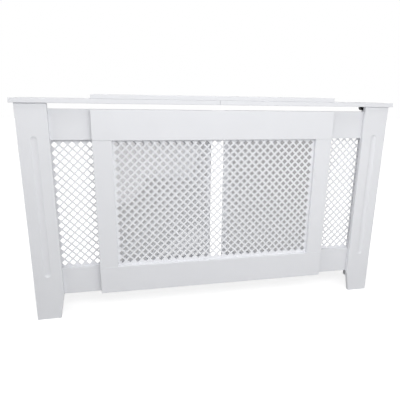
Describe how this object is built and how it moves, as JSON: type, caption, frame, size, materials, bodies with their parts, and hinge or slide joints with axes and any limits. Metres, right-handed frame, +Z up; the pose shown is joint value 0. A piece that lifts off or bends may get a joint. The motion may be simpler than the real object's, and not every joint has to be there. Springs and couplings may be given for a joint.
{
  "type": "radiator_cover",
  "caption": "Adjustable radiator cover: wall-backed cabinet with lattice front, long shelf top and two end sections that slide out from a bridging middle section",
  "frame": {"origin": "middle of the closed width and of the shelf's depth, at floor level", "axes": "+X to the right seen from the front, +Y from the front to the wall, +Z up; the front faces -Y"},
  "size_m": [1.392, 0.19, 0.82],
  "materials": {
    "painted_board": "satin white paint on fibreboard",
    "painted_sheet": "satin white paint on thin pierced fibreboard",
    "beech": "plain turned or planed beech",
    "zinc_steel": "zinc plated",
    "brass_insert": "plain turned brass",
    "dark_plastic": "moulded, fine grained"
  },
  "bodies": {
    "centre": {"upper_shelf": "painted_board", "centre_top_rail": "painted_board", "centre_bottom_rail": "painted_board", "centre_left_stile": "painted_board", "centre_right_stile": "painted_board", "centre_lattice": "painted_sheet", "centre_stile_dowels": "beech", "centre_lattice_pins": "zinc_steel", "stud_inserts": "brass_insert", "clamp_studs": "zinc_steel", "clamp_glides": "dark_plastic", "clamp_washers": "zinc_steel", "wing_nuts": "zinc_steel", "shelf_runners": "beech"},
    "left": {"left_post": "painted_board", "left_side_panel": "painted_board", "left_lower_shelf": "painted_board", "left_top_rail": "painted_board", "left_bottom_rail": "painted_board", "left_outer_stile": "painted_board", "left_lattice": "painted_sheet", "left_corner_blocks": "dark_plastic", "left_block_screws": "zinc_steel", "left_dowels": "beech", "left_post_screws": "zinc_steel", "left_lattice_pins": "zinc_steel", "left_wall_bracket": "zinc_steel", "left_bracket_screws": "zinc_steel"},
    "right": {"right_post": "painted_board", "right_side_panel": "painted_board", "right_lower_shelf": "painted_board", "right_top_rail": "painted_board", "right_bottom_rail": "painted_board", "right_outer_stile": "painted_board", "right_lattice": "painted_sheet", "right_corner_blocks": "dark_plastic", "right_block_screws": "zinc_steel", "right_dowels": "beech", "right_post_screws": "zinc_steel", "right_lattice_pins": "zinc_steel", "right_wall_bracket": "zinc_steel", "right_bracket_screws": "zinc_steel"}
  },
  "joints": [
    {"name": "left_slide", "type": "slide", "parent": "centre", "child": "left", "axis": [-1, 0, 0], "range_m": [0, 0.26]},
    {"name": "right_slide", "type": "slide", "parent": "centre", "child": "right", "axis": [1, 0, 0], "range_m": [0, 0.26]}
  ]
}
